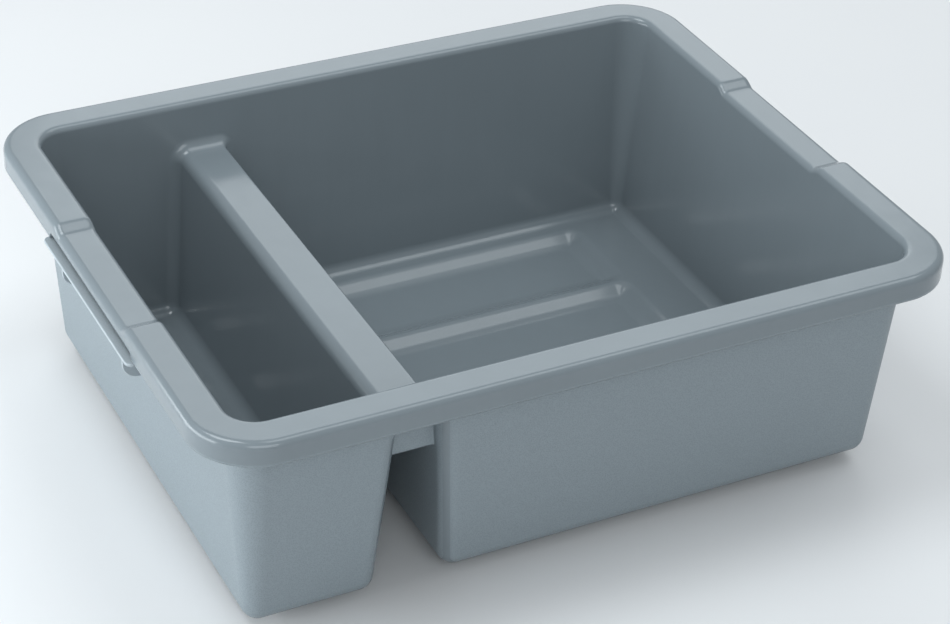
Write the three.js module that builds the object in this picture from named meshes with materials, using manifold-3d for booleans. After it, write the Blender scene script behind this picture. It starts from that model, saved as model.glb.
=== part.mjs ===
// Divided carrying caddy: a one-piece moulded tub with a rolled rim, a hollow saddle-shaped divider,
// and a grip insert pressed up under the lowered rim at each short end.
// Millimetres, +Z up. The origin is the middle of the footprint, on the plane the floor pads stand on.

import * as THREE from "three";
import { mergeVertices } from "three/addons/utils/BufferGeometryUtils.js";
import Module from "manifold-3d";

const wasm = await Module();
wasm.setup();

// Overall size.
const LENGTH = 546; // along X
const DEPTH = 435; // along Y
const HEIGHT = 178; // from the pads' undersides to the top of the rim
const WALL = 3; // thickness of the moulding
const DRAFT = 0.075; // how far a wall leans in for each millimetre down

// The rim that rolls outward and hangs down outside the wall.
const RIM_CORNER = 47; // outer corner radius, in plan
const RIM_EDGE = 5; // rounding of the outer top edge
const MOUTH_EDGE = 4.5; // rounding of the edge of the mouth
const RIM_REACH = 26.5; // from the rim's outer edge to the inside of the wall
const SKIRT = 17.3; // how far the rim hangs down

// The dip in the rim at each short end, where a hand goes.
const DIP = 4.3; // how far the rim is lowered
const DIP_FLAT = 58.5; // half the length of the level bottom
const DIP_END = 70; // half the length between the ends of the ramps
const DIP_SKIRT = 12; // how far down the skirt reaches there
const DIP_SKIRT_END = 79; // half the length of the shortened skirt

// The saddle between the compartments, an upside-down U that is open below.
const SADDLE_DROP = 37; // its top, below the rim
const SADDLE_LEFT = -139; // its edges at the top, along X
const SADDLE_RIGHT = -104.5;
const SADDLE_FILLET = 8.5; // where its top and sides meet the front and back walls
const LEFT_EDGE = 8; // rounding of the edges along it
const RIGHT_EDGE = 2;
const WEB_FACE = 175; // from the middle to the outer face of each web across the saddle's hollow
const WEB_DROP = 67; // the webs' bottom edge, below the rim
const WEB_THICKNESS = 2.5;

// The floor, with a row of recessed panels in each compartment that stand out below as pads.
const FLOOR = 10; // top of the floor, above the plane the pads stand on
const BOTTOM_EDGE = 12; // rounding of the outer bottom edge
const PANEL_PITCH = 82.2;
const PANEL_LENGTH = 79.4;
const PANELS = 4;
const PANEL_DROP = 7;
const PANEL_SLOPE = 12.5; // width of the sloping sides
const PANEL_CORNER = 12;
const PANEL_SPANS = [
  [-221, -160],
  [-49, 188],
];

// The grip inserts.
const GRIP_REACH = 277; // outer edge of the ledge, from the middle of the tub
const GRIP_HALF = 83; // half the length of the ledge
const GRIP_TOP = 17.6; // top of the ledge, below the rim
const GRIP_THICKNESS = 2.3;
const GRIP_CORNER = 5;
const GUSSET_PLACE = 58.5; // from the middle of the ledge to each gusset
const GUSSET_THICKNESS = 2.6;
const GUSSET_REACH = 272;
const GUSSET_DROP = 44.5; // bottom of the gussets, below the rim
const GUSSET_CORNER = 11;

const CLEAR = 0.3; // gap between touching pieces
const HAIR = 0.15; // how far apart two faces are kept that would otherwise coincide
const ARC_STEPS = 4; // facets in a rounded edge
const CORNER_STEPS = 8; // facets in a corner seen from above
const RAMP_STEPS = 5; // facets in each ramp of a dip
const LEAST_CORNER = 2; // smallest corner radius left where a fillet eats into a corner

const QUARTER = Math.PI / 2;
const WALL_REACH = RIM_REACH - WALL; // from the rim's outer edge to the outside of the wall
const WALL_TOP = HEIGHT - DIP - MOUTH_EDGE - 1; // where the wall runs up into the rim

function solid(geometry) {
  const bare = geometry.clone();
  bare.deleteAttribute("normal");
  bare.deleteAttribute("uv");
  const merged = mergeVertices(bare, 1e-4);
  return new wasm.Manifold(
    new wasm.Mesh({
      numProp: 3,
      vertProperties: merged.getAttribute("position").array,
      triVerts: new Uint32Array(merged.index.array),
    }),
  );
}

function mesh(name, shape, material) {
  const { numProp, vertProperties, triVerts } = shape.getMesh();
  const geometry = new THREE.BufferGeometry();
  const data = new THREE.InterleavedBuffer(vertProperties, numProp);
  geometry.setAttribute("position", new THREE.InterleavedBufferAttribute(data, 3, 0));
  geometry.setIndex(new THREE.BufferAttribute(triVerts, 1));
  const flat = geometry.toNonIndexed();
  flat.computeVertexNormals();
  const made = new THREE.Mesh(flat, material);
  made.name = name;
  return made;
}

function box(x0, x1, y0, y1, z0, z1) {
  const geometry = new THREE.BoxGeometry(x1 - x0, y1 - y0, z1 - z0);
  geometry.translate((x0 + x1) / 2, (y0 + y1) / 2, (z0 + z1) / 2);
  return solid(geometry);
}

function clamp(value, limit) {
  return THREE.MathUtils.clamp(value, -limit, limit);
}

// How far the rim is lowered at a place along Y.
function dip(y) {
  return DIP * (1 - THREE.MathUtils.smoothstep(Math.abs(y), DIP_FLAT, DIP_END));
}

// Places around the rim's outer edge: each a point and the direction inward from it.
function rimStations() {
  const cornerX = LENGTH / 2 - RIM_CORNER;
  const cornerY = DEPTH / 2 - RIM_CORNER;
  const stations = [];
  const add = (x, y, angle) => {
    const inward = [-Math.cos(angle), -Math.sin(angle)];
    stations.push({ x: x - RIM_CORNER * inward[0], y: y - RIM_CORNER * inward[1], inward });
  };
  const corner = (x, y, start) => {
    for (let i = 0; i <= CORNER_STEPS; i++) {
      add(x, y, start + (QUARTER * i) / CORNER_STEPS);
    }
  };
  const ramps = (x, angle, direction) => {
    for (const half of [-direction, direction]) {
      for (let i = 0; i <= RAMP_STEPS; i++) {
        const along = half === direction ? i : RAMP_STEPS - i;
        const place = DIP_FLAT + ((DIP_END - DIP_FLAT) * along) / RAMP_STEPS;
        add(x, half * place, angle);
      }
    }
  };
  ramps(cornerX, 0, 1);
  corner(cornerX, cornerY, 0);
  corner(-cornerX, cornerY, QUARTER);
  ramps(-cornerX, 2 * QUARTER, -1);
  corner(-cornerX, -cornerY, 2 * QUARTER);
  corner(cornerX, -cornerY, 3 * QUARTER);
  return stations;
}

// The outline of the left (side -1) or right (side 1) compartment at rim height. A setback of zero
// gives the inside, and the wall's thickness gives the outside.
function compartmentPlan(side, setback) {
  const lean = DRAFT * SADDLE_DROP;
  const edge = side < 0 ? SADDLE_LEFT + lean : SADDLE_RIGHT - lean;
  const near = side * edge - setback;
  const far = LENGTH / 2 - RIM_REACH + setback;
  return {
    centre: (side * (near + far)) / 2,
    halfX: (far - near) / 2,
    halfY: DEPTH / 2 - RIM_REACH + setback,
    radius: RIM_CORNER - RIM_REACH + setback,
    saddleSide: -side,
    saddleCorner: SADDLE_FILLET + setback,
  };
}

// A rounded rectangle about the origin.
function roundedRectangle(halfX, halfY, radius) {
  const x = halfX - radius;
  const y = halfY - radius;
  const outline = new THREE.Shape();
  outline.absarc(x, y, radius, 0, QUARTER);
  outline.absarc(-x, y, radius, QUARTER, 2 * QUARTER);
  outline.absarc(-x, -y, radius, 2 * QUARTER, 3 * QUARTER);
  outline.absarc(x, -y, radius, 3 * QUARTER, 4 * QUARTER);
  return outline;
}

// A stack of outlines. Each level has a height z, an inset from the plan, and a spread of the side by
// the saddle. The draft leans the sides in below the rim, which tightens the corners, except for the
// two by the saddle.
function loft(plan, levels, draft = 0) {
  const { centre, halfX, halfY, radius, saddleSide = 0, saddleCorner } = plan;
  const geometry = new THREE.ExtrudeGeometry(roundedRectangle(halfX, halfY, radius), {
    steps: levels.length - 1,
    depth: levels.length - 1,
    curveSegments: CORNER_STEPS / 2,
    bevelEnabled: false,
  });
  const position = geometry.getAttribute("position");
  for (let i = 0; i < position.count; i++) {
    const x = position.getX(i);
    const y = position.getY(i);
    const coreX = clamp(x, halfX - radius);
    const coreY = clamp(y, halfY - radius);
    const level = levels[Math.round(position.getZ(i))];
    const inset = level.inset + draft * (HEIGHT - level.z);
    const bySaddle = x * saddleSide > 0;
    const corner = bySaddle ? saddleCorner : Math.max(radius - inset, LEAST_CORNER);
    const stretchX = (halfX - inset - corner) / (halfX - radius);
    const stretchY = (halfY - inset - corner) / (halfY - radius);
    const spread = bySaddle ? saddleSide * (level.spread ?? 0) : 0;
    position.setXYZ(
      i,
      centre + coreX * stretchX + ((x - coreX) / radius) * corner + spread,
      coreY * stretchY + ((y - coreY) / radius) * corner,
      level.z,
    );
  }
  return solid(geometry);
}

// Levels of a rounded bottom edge, upward from the flat to the side.
function bottomLevels(z, radius) {
  const levels = [];
  for (let i = 0; i <= ARC_STEPS; i++) {
    const angle = QUARTER * (1 - i / ARC_STEPS);
    levels.push({ z: z + radius * (1 - Math.sin(angle)), inset: radius * (1 - Math.cos(angle)) });
  }
  return levels;
}

// Levels of a rounded top edge, upward from the side to the flat.
function topLevels(z, radius) {
  const levels = [];
  for (let i = 0; i <= ARC_STEPS; i++) {
    const angle = (QUARTER * i) / ARC_STEPS;
    levels.push({ z: z - radius * (1 - Math.sin(angle)), inset: radius * (1 - Math.cos(angle)) });
  }
  return levels;
}

// The rim's closed section. Its upper points sink with the dip, and those on the wall lean with it.
function rimSection() {
  const bottom = HEIGHT - SKIRT;
  const outer = topLevels(HEIGHT, RIM_EDGE).map((level) => ({ ...level, sinks: true }));
  const under = topLevels(HEIGHT - WALL, RIM_EDGE - WALL).map((level) => ({
    z: level.z,
    inset: level.inset + WALL,
    sinks: true,
  }));
  const mouth = topLevels(HEIGHT, MOUTH_EDGE).map((level) => ({
    z: level.z,
    inset: RIM_REACH - level.inset,
    sinks: true,
    leans: true,
  }));
  return [
    { z: bottom, inset: 0 },
    ...outer,
    ...mouth.reverse(),
    { z: bottom, inset: RIM_REACH - HAIR, leans: true },
    { z: bottom, inset: WALL_REACH + 2 * HAIR, leans: true },
    { z: HEIGHT - WALL, inset: WALL_REACH + 2 * HAIR, sinks: true, leans: true },
    ...under.reverse(),
    { z: bottom, inset: WALL },
    { z: bottom, inset: 0 },
  ];
}

// The rolled rim: its section carried round the stations, as a lathe pulled out into the rim's plan.
function rim() {
  const section = rimSection();
  const stations = rimStations();
  const ring = section.map(({ z, inset }) => new THREE.Vector2(LENGTH - inset, z));
  const geometry = new THREE.LatheGeometry(ring, stations.length);
  const position = geometry.getAttribute("position");
  for (let i = 0; i < position.count; i++) {
    const { x, y, inward } = stations[Math.floor(i / section.length) % stations.length];
    const point = section[i % section.length];
    const z = point.z - (point.sinks ? dip(y) : 0);
    const inset = point.inset + (point.leans ? DRAFT * (HEIGHT - z) : 0);
    position.setXYZ(i, x + inset * inward[0], y + inset * inward[1], z);
  }
  return shortenSkirt(solid(geometry));
}

// Cuts the skirt short where the rim dips.
function shortenSkirt(whole) {
  const bottom = HEIGHT - SKIRT - 2;
  const top = HEIGHT - DIP_SKIRT;
  const far = LENGTH / 2 + 1;
  const near = LENGTH / 2 - WALL_REACH + HAIR;
  return whole
    .subtract(box(-far, -near, -DIP_SKIRT_END, DIP_SKIRT_END, bottom, top))
    .subtract(box(near, far, -DIP_SKIRT_END, DIP_SKIRT_END, bottom, top));
}

// A bar across the saddle's place, from its rounded bottom edges up to a given height. Its front and
// back follow the walls, a hair inside them.
function crossBar(setback, bottom, radius, top) {
  const margin = 24;
  const wallAt = (z) => DEPTH / 2 - RIM_REACH + setback - HAIR - DRAFT * (HEIGHT - z);
  const foot = wallAt(bottom + radius);
  const outline = new THREE.Shape();
  outline.moveTo(wallAt(top), top);
  outline.lineTo(-wallAt(top), top);
  outline.absarc(radius - foot, bottom + radius, radius, 2 * QUARTER, 3 * QUARTER);
  outline.absarc(foot - radius, bottom + radius, radius, 3 * QUARTER, 4 * QUARTER);
  const geometry = new THREE.ExtrudeGeometry(outline, {
    depth: SADDLE_RIGHT - SADDLE_LEFT + 2 * margin,
    curveSegments: ARC_STEPS / 2,
    bevelEnabled: false,
  });
  geometry.rotateX(QUARTER);
  geometry.rotateZ(QUARTER);
  geometry.translate(SADDLE_LEFT - margin, 0, 0);
  return solid(geometry);
}

// The space inside one compartment, spread at the top where it rounds the saddle's edge.
function room(side) {
  const edge = side < 0 ? LEFT_EDGE : RIGHT_EDGE;
  const shoulder = topLevels(HEIGHT - SADDLE_DROP + HAIR, edge).map((level) => ({
    z: level.z,
    inset: 0,
    spread: level.inset,
  }));
  const top = { ...shoulder.at(-1), z: HEIGHT + 1 };
  const levels = [...bottomLevels(FLOOR, BOTTOM_EDGE - WALL), ...shoulder, top];
  return loft(compartmentPlan(side, 0), levels, DRAFT);
}

// Everything inside the tub: both compartments and the space over the saddle.
function inside() {
  const over = crossBar(0, HEIGHT - SADDLE_DROP, SADDLE_FILLET, HEIGHT + 2);
  return room(-1).add(room(1)).add(over);
}

// The outside of one compartment, up to where the rim takes over.
function hull(side) {
  const levels = [...bottomLevels(FLOOR - WALL, BOTTOM_EDGE), { z: WALL_TOP, inset: 0 }];
  return loft(compartmentPlan(side, WALL), levels, DRAFT);
}

// The outside of both compartments, bridged by the saddle.
function outside() {
  const bottom = HEIGHT - SADDLE_DROP - WALL;
  const bridge = crossBar(WALL, bottom, SADDLE_FILLET + WALL, WALL_TOP - HAIR);
  return hull(-1).add(hull(1)).add(bridge);
}

// The upright webs that stiffen the saddle's hollow near its two ends.
function webs() {
  const bottom = HEIGHT - WEB_DROP;
  const top = HEIGHT - SADDLE_DROP - WALL / 2;
  const lean = DRAFT * (WEB_DROP - SADDLE_DROP);
  const x0 = SADDLE_LEFT - lean + WALL / 2;
  const x1 = SADDLE_RIGHT + lean - WALL / 2;
  const front = box(x0, x1, -WEB_FACE, WEB_THICKNESS - WEB_FACE, bottom, top);
  const back = box(x0, x1, WEB_FACE - WEB_THICKNESS, WEB_FACE, bottom, top);
  return front.add(back);
}

// One sloping-sided panel, as a cutter for its recess or, lowered, as the pad below it.
function panel(span, row, top, overlap) {
  const [x0, x1] = span;
  const plan = {
    centre: (x0 + x1) / 2,
    halfX: (x1 - x0) / 2,
    halfY: PANEL_LENGTH / 2,
    radius: PANEL_CORNER,
  };
  const levels = [
    { z: top - PANEL_DROP, inset: PANEL_SLOPE },
    { z: top, inset: 0 },
    { z: top + overlap, inset: 0 },
  ];
  const y = (row - (PANELS - 1) / 2) * PANEL_PITCH;
  return loft(plan, levels).translate([0, y, 0]);
}

function tub() {
  let body = outside().add(webs());
  let space = inside();
  for (const span of PANEL_SPANS) {
    for (let row = 0; row < PANELS; row++) {
      body = body.add(panel(span, row, FLOOR - WALL, WALL / 2));
      space = space.add(panel(span, row, FLOOR, 1));
    }
  }
  return body.subtract(space).add(rim());
}

// The flat ledge of a grip insert, for the left end.
function ledge() {
  const back = -(LENGTH / 2 - WALL_REACH - DRAFT * GRIP_TOP) - CLEAR;
  const y = GRIP_HALF - GRIP_CORNER;
  const x = -GRIP_REACH + GRIP_CORNER;
  const outline = new THREE.Shape();
  outline.moveTo(back, -GRIP_HALF);
  outline.lineTo(back, GRIP_HALF);
  outline.absarc(x, y, GRIP_CORNER, QUARTER, 2 * QUARTER);
  outline.absarc(x, -y, GRIP_CORNER, 2 * QUARTER, 3 * QUARTER);
  const geometry = new THREE.ExtrudeGeometry(outline, {
    depth: GRIP_THICKNESS,
    curveSegments: ARC_STEPS,
    bevelEnabled: false,
  });
  geometry.translate(0, 0, HEIGHT - GRIP_TOP - GRIP_THICKNESS);
  return solid(geometry);
}

// One upright gusset, hanging from the middle of the ledge's thickness, with its back by the wall.
function gusset(y) {
  const wallAt = (drop) => -(LENGTH / 2 - WALL_REACH - DRAFT * drop) - CLEAR;
  const top = GRIP_TOP + GRIP_THICKNESS / 2;
  const corner = [-GUSSET_REACH + GUSSET_CORNER, HEIGHT - GUSSET_DROP + GUSSET_CORNER];
  const outline = new THREE.Shape();
  outline.moveTo(wallAt(GUSSET_DROP), HEIGHT - GUSSET_DROP);
  outline.lineTo(wallAt(top), HEIGHT - top);
  outline.lineTo(-GUSSET_REACH, HEIGHT - top);
  outline.absarc(...corner, GUSSET_CORNER, 2 * QUARTER, 3 * QUARTER);
  const geometry = new THREE.ExtrudeGeometry(outline, {
    depth: GUSSET_THICKNESS,
    curveSegments: ARC_STEPS,
    bevelEnabled: false,
  });
  geometry.rotateX(QUARTER);
  geometry.translate(0, y + GUSSET_THICKNESS / 2, 0);
  return solid(geometry);
}

function grip() {
  return ledge().add(gusset(-GUSSET_PLACE)).add(gusset(GUSSET_PLACE));
}

const tubPlastic = new THREE.MeshStandardMaterial({
  color: 0x8b999f,
  roughness: 0.35,
  metalness: 0,
});
const gripPlastic = new THREE.MeshStandardMaterial({
  color: 0x86939a,
  roughness: 0.5,
  metalness: 0,
});

const caddy = new THREE.Group();
caddy.name = "tool_storage_caddy";
caddy.add(mesh("tub", tub(), tubPlastic));
caddy.add(mesh("left_grip", grip(), gripPlastic));
caddy.add(mesh("right_grip", grip().rotate([0, 0, 180]), gripPlastic));

export default caddy;
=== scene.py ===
"""The looks of the divided tool caddy: a glossy grey moulded tub and its two grip inserts."""

import math

import bpy
import numpy as np
from mathutils import Matrix, Vector


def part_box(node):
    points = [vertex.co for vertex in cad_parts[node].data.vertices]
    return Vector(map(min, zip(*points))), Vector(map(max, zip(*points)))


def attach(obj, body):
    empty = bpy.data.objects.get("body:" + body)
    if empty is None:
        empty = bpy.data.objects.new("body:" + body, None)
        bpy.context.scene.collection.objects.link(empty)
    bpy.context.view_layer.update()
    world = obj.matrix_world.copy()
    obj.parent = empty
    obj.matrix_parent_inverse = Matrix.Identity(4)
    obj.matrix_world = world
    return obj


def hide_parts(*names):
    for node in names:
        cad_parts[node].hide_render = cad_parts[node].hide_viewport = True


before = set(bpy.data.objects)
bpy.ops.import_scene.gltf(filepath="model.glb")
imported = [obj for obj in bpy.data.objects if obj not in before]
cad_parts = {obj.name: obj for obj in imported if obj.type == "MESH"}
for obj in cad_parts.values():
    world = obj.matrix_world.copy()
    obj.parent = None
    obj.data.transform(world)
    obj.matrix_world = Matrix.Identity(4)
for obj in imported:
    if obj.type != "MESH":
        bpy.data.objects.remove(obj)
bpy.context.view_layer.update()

MM = 0.001


# ---------------------------------------------------------------- sizes, in millimetres

tub_low, tub_high = (np.array(corner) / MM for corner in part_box("tub"))
HEIGHT = float(tub_high[2])
HALF_X = float(tub_high[0] - tub_low[0]) / 2
HALF_Y = float(tub_high[1] - tub_low[1]) / 2
WALL = 3.0
DRAFT = 0.075

RIM_CORNER = 47.0
RIM_EDGE = 5.0
RIM_REACH = 26.5
MOUTH_EDGE = 4.5
SKIRT = 17.3
LIP_EDGE = 0.9
UNDER_FILLET = 1.5

DIP = 4.3
DIP_FLAT, DIP_END = 58.5, 70.0
DIP_SKIRT = 12.0
DIP_SKIRT_RAMP = (76.5, 80.5)

SADDLE_DROP = 37.0
SADDLE_LEFT, SADDLE_RIGHT = -139.0, -104.5
SADDLE_FILLET = 8.5
SADDLE_EDGES = (8.0, 2.0)
SADDLE_LEAST_EDGE = 0.8
WEB_MIDDLE = 173.75
WEB_HALF = 1.25
WEB_DROP = 67.0
WEB_EDGE = 0.6
WEB_FILLET = 1.0

FLOOR = 10.0
BOTTOM_EDGE = 12.0
PANEL_PITCH = 82.2
PANEL_LENGTH = 79.4
PANEL_DROP = 7.0
PANEL_SLOPE = 12.5
PANEL_CORNER = 12.0
PANEL_FILLET = 2.5
PANEL_EDGE = 1.6
PAD_FILLET = 1.5
PANEL_SPANS = ((-221.0, -160.0), (-49.0, 188.0))

GRIP_REACH = 277.0
GRIP_HALF = 83.0
GRIP_TOP = 17.6
GRIP_THICKNESS = 2.3
GRIP_CORNER = 5.0
LEDGE_EDGE = 0.7
GUSSET_EDGE = 0.5
GRIP_BACK_EDGE = 0.4
GRIP_FILLET = 0.8
GUSSET_PLACE = 58.5
GUSSET_HALF = 1.3
GUSSET_REACH = 272.0
GUSSET_DROP = 44.5
GUSSET_CORNER = 11.0
CLEAR = 0.3

# ------------------------------------------------------- shapes as distance formulas
# Each shape is a function of x, y, z that is negative inside it and grows by about one for each
# millimetre outward. both() keeps what is in two shapes and either() joins them. The last number
# rounds the edge or fills the corner between them with that radius.


def both(a, b, radius=0.0):
    if np.all(radius == 0):
        return np.maximum(a, b)
    outside = np.hypot(np.maximum(a + radius, 0), np.maximum(b + radius, 0))
    return np.minimum(np.maximum(a, b), -radius) + outside


def either(a, b, radius=0.0):
    return -both(-a, -b, radius)


def rectangle(x, y, half_x, half_y, radius):
    """Distance from a rounded rectangle about the origin, seen from above."""
    over_x = np.abs(x) - half_x + radius
    over_y = np.abs(y) - half_y + radius
    corner = np.hypot(np.maximum(over_x, 0), np.maximum(over_y, 0))
    return corner + np.minimum(np.maximum(over_x, over_y), 0) - radius


def smooth_step(value, low, high):
    t = np.clip((value - low) / (high - low), 0, 1)
    return t * t * (3 - 2 * t)


def sunk(y, z):
    """Height as if the dips in the rim were not there."""
    return z + DIP * (1 - smooth_step(np.abs(y), DIP_FLAT, DIP_END))


def mouth(x, y, z, setback):
    """The four outer walls' inner faces, or their outer faces with a setback of the thickness."""
    inset = RIM_REACH - setback
    plan = rectangle(x, y, HALF_X - inset, HALF_Y - inset, RIM_CORNER - inset)
    return plan + DRAFT * (HEIGHT - z)


def beside_saddle(x, z, setback):
    """The space to the left and right of the saddle, between its leaning sides."""
    lean = DRAFT * (HEIGHT - SADDLE_DROP - z) - setback
    return np.minimum(x - SADDLE_LEFT + lean, SADDLE_RIGHT - x + lean)


def basin(x, y, z, setback):
    """The walls and saddle together, without a floor: the inside, or the outside with a setback."""
    above_saddle = HEIGHT - SADDLE_DROP - setback - z
    middle = (SADDLE_LEFT + SADDLE_RIGHT) / 2
    left, right = (max(edge - setback, SADDLE_LEAST_EDGE) for edge in SADDLE_EDGES)
    edge = left + (right - left) * smooth_step(x, middle - 6, middle + 6)
    clear = either(beside_saddle(x, z, setback), above_saddle, edge)
    return both(mouth(x, y, z, setback), clear, SADDLE_FILLET + setback)


def panels(x, y, z, drop):
    """The recessed panels' hollows, lowered by a distance."""
    slope = PANEL_SLOPE / PANEL_DROP
    across = y - PANEL_PITCH * (np.clip(np.round(y / PANEL_PITCH + 0.5), -1, 2) - 0.5)
    made = None
    for x0, x1 in PANEL_SPANS:
        middle, half_x = (x0 + x1) / 2, (x1 - x0) / 2
        plan = rectangle(x - middle, across, half_x, PANEL_LENGTH / 2, PANEL_CORNER)
        sides = (plan + slope * (FLOOR - drop - z)) / math.hypot(1, slope)
        hollow = both(sides, FLOOR - PANEL_DROP - drop - z, PANEL_FILLET)
        hollow = both(hollow, z - (FLOOR - drop + 2))
        made = hollow if made is None else np.minimum(made, hollow)
    return made


def inside(x, y, z):
    """The room in the tub, from the floor up through the mouth."""
    room = both(basin(x, y, z, 0.0), FLOOR - z, BOTTOM_EDGE - WALL)
    return either(room, panels(x, y, z, 0.0), PANEL_EDGE)


def webs(x, y, z):
    """The upright webs across the saddle's hollow, near its two ends."""
    middle, half = (SADDLE_LEFT + SADDLE_RIGHT) / 2, (SADDLE_RIGHT - SADDLE_LEFT) / 2
    slab = np.abs(np.abs(y) - WEB_MIDDLE) - WEB_HALF
    span = np.maximum(np.abs(x - middle) - half - WALL / 2, z - (HEIGHT - SADDLE_DROP - WALL / 2))
    return both(np.maximum(slab, span), HEIGHT - WEB_DROP - z, WEB_EDGE)


def walls_and_floor(x, y, z):
    """All of the tub but the rim, up to where the rim takes over."""
    hull = both(basin(x, y, z, WALL), FLOOR - WALL - z, BOTTOM_EDGE)
    pads = both(panels(x, y, z, WALL), z - FLOOR)
    body = either(either(hull, pads, PAD_FILLET), webs(x, y, z), WEB_FILLET)
    below_mouth = sunk(y, z) - (HEIGHT - MOUTH_EDGE - 0.5)
    return np.maximum(np.maximum(body, -inside(x, y, z)), below_mouth)


def rim(x, y, z):
    """The rolled rim, its skirt, and the top of the wall under the mouth's rounded edge."""
    level = sunk(y, z)
    outline = rectangle(x, y, HALF_X, HALF_Y, RIM_CORNER)
    rolled = both(outline, level - HEIGHT, RIM_EDGE)
    block = both(rolled, -mouth(x, y, z, 0.0), MOUTH_EDGE)
    hollow = both(outline + WALL, level - (HEIGHT - WALL), RIM_EDGE - WALL)
    hollow = both(hollow, -mouth(x, y, z, WALL), UNDER_FILLET)
    whole_skirt = smooth_step(np.abs(y), *DIP_SKIRT_RAMP)
    lip = HEIGHT - DIP_SKIRT - (SKIRT - DIP_SKIRT) * whole_skirt
    kept = np.minimum(lip - z, mouth(x, y, z, WALL + 2))
    shell = both(both(block, -hollow), kept, LIP_EDGE)
    return np.maximum(shell, HEIGHT - SKIRT - z)


def tub(x, y, z):
    return np.minimum(rim(x, y, z), walls_and_floor(x, y, z))


def grip(x, y, z):
    """The left grip insert: a thin ledge, and two gussets under it with a rounded lower corner."""
    wall = -mouth(x, y, z, WALL + CLEAR)
    end = rectangle(x, y, GRIP_REACH, GRIP_HALF, GRIP_CORNER)
    level = np.abs(z - (HEIGHT - GRIP_TOP - GRIP_THICKNESS / 2)) - GRIP_THICKNESS / 2
    ledge = both(both(end, level, LEDGE_EDGE), wall, GRIP_BACK_EDGE)
    top = HEIGHT - GRIP_TOP - GRIP_THICKNESS / 2
    middle = (top + HEIGHT - GUSSET_DROP) / 2
    half = (top - HEIGHT + GUSSET_DROP) / 2
    side = rectangle(x, z - middle, GUSSET_REACH, half, GUSSET_CORNER)
    side = np.where(z > middle, np.maximum(-x - GUSSET_REACH, z - top), side)
    slab = np.abs(np.abs(y) - GUSSET_PLACE) - GUSSET_HALF
    gussets = both(both(side, slab, GUSSET_EDGE), wall, GRIP_BACK_EDGE)
    return either(ledge, gussets, GRIP_FILLET)


# ------------------------------------------------------------ meshes over those shapes

FITTING_ROUNDS = 4
FITTING_PROBE = 0.02
LONGEST_PUSH = 0.6
LEAST_SLOPE = 0.3
NORMAL_PROBE = 0.12


def lines(low, high, step, fine=()):
    """Grid lines from low to high: a coarse step, with a finer step in the named stretches."""
    places = [low]
    while places[-1] < high:
        here = places[-1]
        steps = [width for start, stop, width in fine if start - width <= here < stop]
        places.append(here + min(steps, default=step))
    return np.array(places)


def gradient(shape, points, reach):
    """The shape's slope at each point, measured over a reach to both sides."""
    slopes = []
    for axis in range(3):
        nudge = np.zeros(3)
        nudge[axis] = reach
        ahead = shape(*(points + nudge).T)
        behind = shape(*(points - nudge).T)
        slopes.append((ahead - behind) / (2 * reach))
    return np.stack(slopes, axis=1)


def crossing_sums(values, grid, axis):
    """The grid's edges along one axis that the surface crosses, where it crosses each of them,
    and whether it leaves the shape there."""
    near = np.take(values, range(values.shape[axis] - 1), axis)
    far = np.take(values, range(1, values.shape[axis]), axis)
    crossed = (near < 0) != (far < 0)
    cells = np.argwhere(crossed)
    share = near[crossed] / (near[crossed] - far[crossed])
    points = np.stack([grid[k][cells[:, k]] for k in range(3)], axis=1)
    step = grid[axis][cells[:, axis] + 1] - grid[axis][cells[:, axis]]
    points[:, axis] += share * step
    return cells, points, near[crossed] < 0


def surface(shape, grid):
    """Points and four-sided faces over a shape: one point in each grid cell that it passes through."""
    values = shape(*np.meshgrid(*grid, indexing="ij"))
    dims = np.array([len(line) - 1 for line in grid])
    totals = np.zeros((dims.prod(), 3))
    counts = np.zeros(dims.prod())
    strides = np.array([dims[1] * dims[2], dims[2], 1])
    faces = []
    for axis in range(3):
        cells, points, leaving = crossing_sums(values, grid, axis)
        u, v = strides[(axis + 1) % 3], strides[(axis + 2) % 3]
        here = cells @ strides
        around = np.stack([here, here - u, here - u - v, here - v], axis=1)
        for column in around.T:
            np.add.at(totals, column, points)
            np.add.at(counts, column, 1)
        around[~leaving] = around[~leaving][:, ::-1]
        faces.append(around)
    faces = np.concatenate(faces)
    used = np.flatnonzero(counts)
    number = np.zeros(len(counts), dtype=np.int64)
    number[used] = np.arange(len(used))
    points = totals[used] / counts[used, None]
    for _ in range(FITTING_ROUNDS):
        slope = gradient(shape, points, FITTING_PROBE)
        push = shape(*points.T) / np.maximum((slope**2).sum(axis=1), LEAST_SLOPE)
        points -= np.clip(push, -LONGEST_PUSH, LONGEST_PUSH)[:, None] * slope
    return points, number[faces]


def piece(name, shape, grid, turned=False):
    """A mesh over a shape, with the shape's own slopes as its shading normals."""
    points, faces = surface(shape, grid)
    normals = gradient(shape, points, NORMAL_PROBE)
    normals /= np.linalg.norm(normals, axis=1, keepdims=True)
    if turned:
        half_turn = np.array([-1.0, -1.0, 1.0])
        points, normals = points * half_turn, normals * half_turn
    mesh = bpy.data.meshes.new(name)
    mesh.from_pydata((points * MM).tolist(), [], faces.tolist())
    mesh.polygons.foreach_set("use_smooth", np.ones(len(faces), dtype=bool))
    mesh.normals_split_custom_set_from_vertices(normals.tolist())
    made = bpy.data.objects.new(name, mesh)
    bpy.context.scene.collection.objects.link(made)
    return made, points


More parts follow.
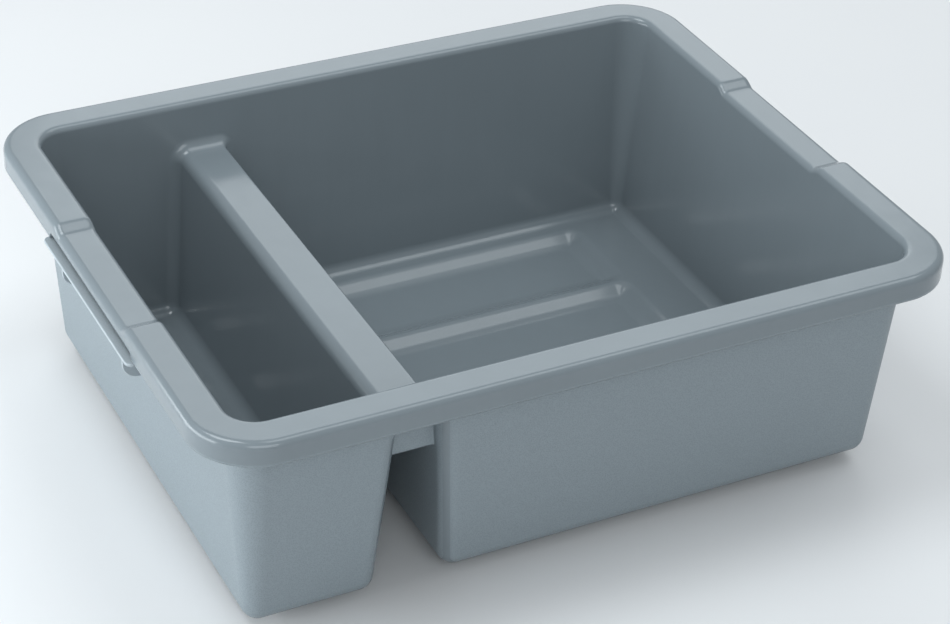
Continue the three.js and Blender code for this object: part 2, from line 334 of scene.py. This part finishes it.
def tub_grid():
    """Finer steps at the rim's corners, the saddle, the panels' edges, and the dips' ramps."""
    far_x, far_y = HALF_X + 3, HALF_Y + 3
    ends_x = [(-far_x, -HALF_X + RIM_CORNER + 14, 1.5), (HALF_X - RIM_CORNER - 14, far_x, 1.5)]
    ends_y = [(-far_y, -HALF_Y + RIM_CORNER + 14, 1.5), (HALF_Y - RIM_CORNER - 14, far_y, 1.5)]
    saddle = (SADDLE_LEFT - 30, SADDLE_RIGHT + 30, 1.4)
    bays = [(edge - 6, edge + 6, 1.5) for span in PANEL_SPANS for edge in span]
    slopes = [
        (edge - 16, edge + 16, 2.0)
        for span in PANEL_SPANS
        for edge in (span[0] + 14, span[1] - 14)
    ]
    ribs = [(k * PANEL_PITCH - 16, k * PANEL_PITCH + 16, 1.5) for k in (-2, -1, 0, 1, 2)]
    ramps = [(s * 69 - 15, s * 69 + 15, 1.2) for s in (-1, 1)]
    return [
        lines(-far_x, far_x, 6.0, [*ends_x, saddle, *bays, *slopes]),
        lines(-far_y, far_y, 6.0, [*ends_y, *ribs, *ramps]),
        lines(-2.0, HEIGHT + 3, 5.0, [(-2, 24, 1.2), (HEIGHT - 72, HEIGHT - 62, 1.2),
                                       (HEIGHT - 52, HEIGHT + 3, 1.1)]),
    ]


def grip_grid():
    """Finer steps at the gussets and at the ledge's outer edge and ends."""
    near = HALF_X - RIM_REACH - WALL - 6
    gussets = [(s * GUSSET_PLACE - 4, s * GUSSET_PLACE + 4, 0.5) for s in (-1, 1)]
    tips = [(-GRIP_HALF - 2, -GRIP_HALF + 8, 0.7), (GRIP_HALF - 8, GRIP_HALF + 2, 0.7)]
    return [
        lines(-GRIP_REACH - 2, -near, 2.0, [(-GRIP_REACH - 2, -GUSSET_REACH + 10, 0.6)]),
        lines(-GRIP_HALF - 2, GRIP_HALF + 2, 3.0, [*gussets, *tips]),
        lines(HEIGHT - GUSSET_DROP - 2, HEIGHT - GRIP_TOP + 2, 0.6),
    ]


# ------------------------------------------------------------------------- materials


class Graph:
    """Adds shader nodes, and sets or wires their sockets by name, or by number as i0, i1, ..."""

    def __init__(self, name):
        self.material = bpy.data.materials.new(name)
        self.material.use_nodes = True
        self.tree = self.material.node_tree
        self.tree.nodes.clear()

    def add(self, kind, settings=(), **inputs):
        node = self.tree.nodes.new(kind)
        for key, value in dict(settings).items():
            setattr(node, key, value)
        for key, value in inputs.items():
            socket = node.inputs[int(key[1:])] if key[0] == "i" and key[1:].isdigit() else None
            self.set(socket or node.inputs[key.replace("_", " ")], value)
        return node

    def set(self, socket, value):
        if isinstance(value, bpy.types.NodeSocket):
            self.tree.links.new(value, socket)
        else:
            socket.default_value = value

    def place(self):
        return self.add("ShaderNodeTexCoord").outputs["Object"]

    def stretched(self, scale):
        mapped = self.add("ShaderNodeMapping", Vector=self.place(), Scale=scale)
        return mapped.outputs["Vector"]

    def noise(self, scale, detail=3.0, roughness=0.5, vector=None):
        node = self.add(
            "ShaderNodeTexNoise",
            Vector=vector or self.place(),
            Scale=scale,
            Detail=detail,
            Roughness=roughness,
        )
        return node.outputs["Fac"]

    def cells(self, scale):
        node = self.add("ShaderNodeTexVoronoi", Vector=self.place(), Scale=scale)
        return node.outputs["Distance"]

    def range(self, value, low, high, to_low, to_high):
        node = self.add("ShaderNodeMapRange", i0=value, i1=low, i2=high, i3=to_low, i4=to_high)
        return node.outputs["Result"]

    def maths(self, operation, a, b=0.0):
        return self.add("ShaderNodeMath", {"operation": operation}, i0=a, i1=b).outputs[0]

    def mix(self, share, a, b):
        node = self.add("ShaderNodeMix", {"data_type": "RGBA"}, i0=share, i6=a, i7=b)
        return node.outputs[2]

    def bump(self, height, depth, strength=1.0, normal=None):
        node = self.add("ShaderNodeBump", Height=height, Distance=depth, Strength=strength)
        if normal is not None:
            self.set(node.inputs["Normal"], normal)
        return node.outputs["Normal"]

    def surface(self, **inputs):
        shader = self.add("ShaderNodeBsdfPrincipled", **inputs)
        out = self.add("ShaderNodeOutputMaterial")
        self.tree.links.new(shader.outputs["BSDF"], out.inputs["Surface"])
        return self.material


def shade(colour, factor):
    return (*[channel * factor for channel in colour], 1.0)


# Heights of the plastic's relief, in metres.
WAVE_HEIGHT = 0.0006
GRAIN_HEIGHT = 0.0002
SCUFF_HEIGHT = 0.00001

DUST_SHARE = 0.04
SCUFF_ROUGHNESS = 0.05


def moulded_plastic(name, colour, smooth_roughness, texture_roughness):
    """Grey moulded plastic: glossy where "texture" is 0 and finely grained where it is 1."""
    graph = Graph(name)
    texture = graph.add("ShaderNodeAttribute", {"attribute_name": "texture"}).outputs["Fac"]
    clouds = graph.noise(9.0, 2.0)
    flow = graph.noise(1.0, 4.0, 0.6, graph.stretched((60.0, 60.0, 7.0)))
    grain = graph.noise(1500.0, 2.0, 0.6)
    pits = graph.cells(1100.0)
    dust = graph.range(graph.noise(420.0, 6.0, 0.75), 0.66, 0.72, 0.0, 1.0)
    scuffs = graph.range(graph.noise(1.0, 6.0, 0.7, graph.stretched((35.0, 260.0, 260.0))),
                         0.64, 0.72, 0.0, 1.0)

    base = graph.mix(clouds, shade(colour, 0.95), shade(colour, 1.05))
    base = graph.mix(graph.range(flow, 0.35, 0.65, 0.0, 0.25), base, shade(colour, 0.93))
    grained = graph.mix(graph.range(pits, 0.0, 0.6, 0.0, 1.0), shade(colour, 1.02),
                        shade(colour, 1.34))
    base = graph.mix(texture, base, grained)
    base = graph.mix(graph.maths("MULTIPLY", dust, DUST_SHARE), base, shade(colour, 1.8))

    smooth = graph.range(flow, 0.3, 0.7, smooth_roughness - 0.03, smooth_roughness + 0.05)
    grainy = graph.range(grain, 0.3, 0.7, texture_roughness - 0.05, texture_roughness + 0.07)
    spread = graph.add("ShaderNodeMix", i0=texture, i2=smooth, i3=grainy).outputs[0]
    worn = graph.maths("ADD", spread, graph.maths("MULTIPLY", scuffs, SCUFF_ROUGHNESS))

    waves = graph.bump(graph.noise(26.0, 1.0), WAVE_HEIGHT, 0.35)
    fine = graph.bump(grain, GRAIN_HEIGHT, texture, waves)
    normal = graph.bump(scuffs, SCUFF_HEIGHT, 0.2, fine)
    return graph.surface(
        Base_Color=base,
        Roughness=worn,
        IOR=1.5,
        Normal=normal,
    )


def floor_material():
    """Pale matte paper."""
    graph = Graph("studio_floor")
    fibres = graph.noise(260.0, 4.0)
    tone = graph.mix(graph.noise(3.0, 2.0), (0.70, 0.70, 0.71, 1), (0.74, 0.74, 0.74, 1))
    return graph.surface(Base_Color=tone, Roughness=0.9, Normal=graph.bump(fibres, 0.0002, 0.2))


# ---------------------------------------------------------------------------- pieces

TUB_GREY = (0.180, 0.211, 0.230)
# The grips' grey is about 1.7 times lighter than the tub's. This is painted light: it stands in for
# the light on the grip's ledge, which sits in the rim's shade.
GRIP_GREY_WITH_PAINTED_LIGHT = (0.32, 0.36, 0.385)
GRIP_TEXTURE = 0.35


def set_texture(made, share):
    """Marks each point with how much of the fine grained texture it has."""
    layer = made.data.attributes.new("texture", "FLOAT", "POINT")
    layer.data.foreach_set("value", share.astype(np.float32))


def build_tub(material):
    """The tub, grained outside and in the saddle's hollow, and glossy inside and on the rim."""
    made, points = piece("moulded_tub", tub, tub_grid())
    x, y, z = points.T
    below_rim = 1 - smooth_step(z, HEIGHT - SKIRT + 0.5, HEIGHT - SKIRT + 2.5)
    outside_walls = smooth_step(mouth(x, y, z, 0.0), 0.6, 2.2)
    in_saddle = smooth_step(np.minimum(beside_saddle(x, z, 0.0), inside(x, y, z)), 0.6, 2.2)
    set_texture(made, below_rim * np.maximum(outside_walls, in_saddle))
    made.data.materials.append(material)
    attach(made, "root")
    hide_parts("tub")


def build_grip(name, node, material, turned):
    made, points = piece(name, grip, grip_grid(), turned)
    set_texture(made, np.full(len(points), GRIP_TEXTURE))
    made.data.materials.append(material)
    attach(made, "root")
    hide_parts(node)


tub_plastic = moulded_plastic("tub_plastic", TUB_GREY, 0.16, 0.48)
grip_plastic = moulded_plastic("grip_plastic", GRIP_GREY_WITH_PAINTED_LIGHT, 0.32, 0.46)
build_tub(tub_plastic)
build_grip("left_grip_insert", "left_grip", grip_plastic, False)
build_grip("right_grip_insert", "right_grip", grip_plastic, True)

# ------------------------------------------------------------------ floor, light, camera


def build_floor():
    mesh = bpy.data.meshes.new("studio_floor")
    mesh.from_pydata([(-6, -6, 0), (6, -6, 0), (6, 6, 0), (-6, 6, 0)], [], [(0, 1, 2, 3)])
    made = bpy.data.objects.new("studio_floor", mesh)
    made.location.z = -0.0002
    made.data.materials.append(floor_material())
    bpy.context.scene.collection.objects.link(made)


SOFTBOX_TINT = (0.91, 0.97, 1.0)
SURROUNDING_TINT = (0.93, 0.97, 1.0)
SURROUNDING_STRENGTH = 0.45


def area_light(name, place, aim, width, height, power):
    """A rectangular soft light in metres and watts, turned to face a point."""
    light = bpy.data.lights.new(name, "AREA")
    light.color = SOFTBOX_TINT
    light.shape = "RECTANGLE"
    light.size = width
    light.size_y = height
    light.energy = power
    made = bpy.data.objects.new(name, light)
    made.location = place
    toward = Vector(aim) - Vector(place)
    made.rotation_euler = toward.to_track_quat("-Z", "Y").to_euler()
    bpy.context.scene.collection.objects.link(made)


def surrounding_light(colour, strength):
    world = bpy.data.worlds.new("studio")
    world.use_nodes = True
    background = world.node_tree.nodes["Background"]
    background.inputs["Color"].default_value = (*colour, 1)
    background.inputs["Strength"].default_value = strength
    bpy.context.scene.world = world


CAMERA_PLACE = (-0.6996, -1.3406, 1.0804)
CAMERA_TURN = 27.99
CAMERA_TILT = 33.52
CAMERA_ROLL = 2.68
CAMERA_LENS = 96.4


def build_camera():
    """Looks along the turn (from +Y towards +X) and down by the tilt, then rolls."""
    turn, tilt, roll = (math.radians(a) for a in (CAMERA_TURN, CAMERA_TILT, CAMERA_ROLL))
    forward = Vector(
        (math.sin(turn) * math.cos(tilt), math.cos(turn) * math.cos(tilt), -math.sin(tilt))
    )
    level = forward.cross(Vector((0, 0, 1))).normalized()
    upright = level.cross(forward)
    right = level * math.cos(roll) + upright * math.sin(roll)
    up = right.cross(forward)
    camera = bpy.data.cameras.new("camera")
    camera.lens = CAMERA_LENS
    camera.sensor_width = 36.0
    made = bpy.data.objects.new("camera", camera)
    axes = Matrix((right, up, -forward)).transposed()
    made.matrix_world = Matrix.Translation(CAMERA_PLACE) @ axes.to_4x4()
    bpy.context.scene.collection.objects.link(made)
    bpy.context.scene.camera = made


build_floor()
surrounding_light(SURROUNDING_TINT, SURROUNDING_STRENGTH)
area_light("left_panel", (-1.25, 0.25, 0.3), (-0.27, 0.1, 0.08), 1.4, 0.5, 13.0)
area_light("back_softbox", (1.25, 2.35, 1.75), (0, 0, 0.15), 1.8, 1.8, 17.0)
area_light("overhead_softbox", (0.9, -0.15, 2.4), (0, 0, 0.1), 1.2, 1.8, 18.0)
area_light("front_softbox", (-0.55, -2.1, 1.4), (0, 0, 0.1), 1.6, 1.2, 16.5)
area_light("top_left_softbox", (-0.9, 0.3, 2.2), (0, 0, 0.1), 1.0, 1.0, 20.0)
build_camera()

scene = bpy.context.scene
scene.view_settings.view_transform = "Standard"
